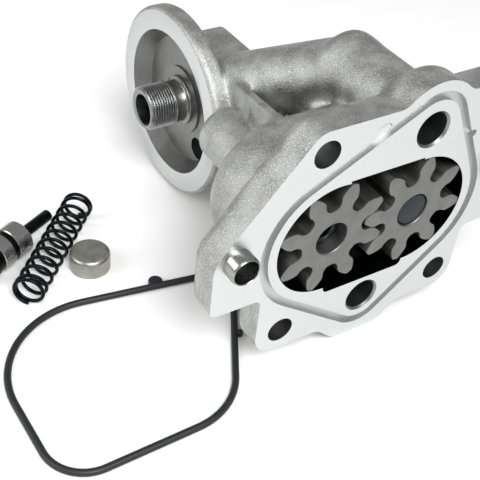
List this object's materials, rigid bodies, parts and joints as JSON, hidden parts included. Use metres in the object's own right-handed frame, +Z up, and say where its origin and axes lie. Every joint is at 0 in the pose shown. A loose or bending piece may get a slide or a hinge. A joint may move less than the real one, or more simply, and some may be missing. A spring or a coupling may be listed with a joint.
{
  "type": "engine oil pump",
  "caption": "Gear oil pump with a mounting flange, an open gear chamber, a spin-on filter head, and its relief valve parts and face seal laid out beside it.",
  "frame": {"origin": "on the drive gear's axis, in the plane of the machined mounting face", "axes": "+X from the drive gear to the idler gear, +Y from the face into the housing, +Z up towards the delivery port"},
  "size_m": [0.2491, 0.2168, 0.1356],
  "materials": {
    "cast_aluminium": "cast, machined on its faces",
    "sintered_steel": "ground",
    "shaft_steel": "ground",
    "bright_steel": "turned",
    "black_steel": "black oxide",
    "pressed_steel": "satin",
    "bearing_bronze": "bored",
    "seal_rubber": "matt"
  },
  "bodies": {
    "housing": {"pump_housing": "cast_aluminium", "drive_shaft_bush": "bearing_bronze", "idler_shaft": "shaft_steel", "filter_nipple": "bright_steel", "dowel_sleeve_left": "bright_steel", "dowel_sleeve_right": "bright_steel", "relief_spool": "bright_steel", "relief_spring": "black_steel", "relief_cup_plug": "pressed_steel", "housing_seal": "seal_rubber"},
    "drive_rotor": {"drive_gear": "sintered_steel", "drive_shaft": "shaft_steel"},
    "idler_rotor": {"idler_gear": "sintered_steel"}
  },
  "joints": [
    {"name": "drive_spin", "type": "hinge", "parent": "housing", "child": "drive_rotor", "pos_m": [0, 0, 0], "axis": [0, 1, 0], "continuous": true},
    {"name": "idler_spin", "type": "hinge", "parent": "housing", "child": "idler_rotor", "pos_m": [0.046, 0, 0], "axis": [0, 1, 0], "continuous": true}
  ],
  "couplings": [
    {"joint": "idler_spin", "follows": "drive_spin", "ratio": -1}
  ]
}
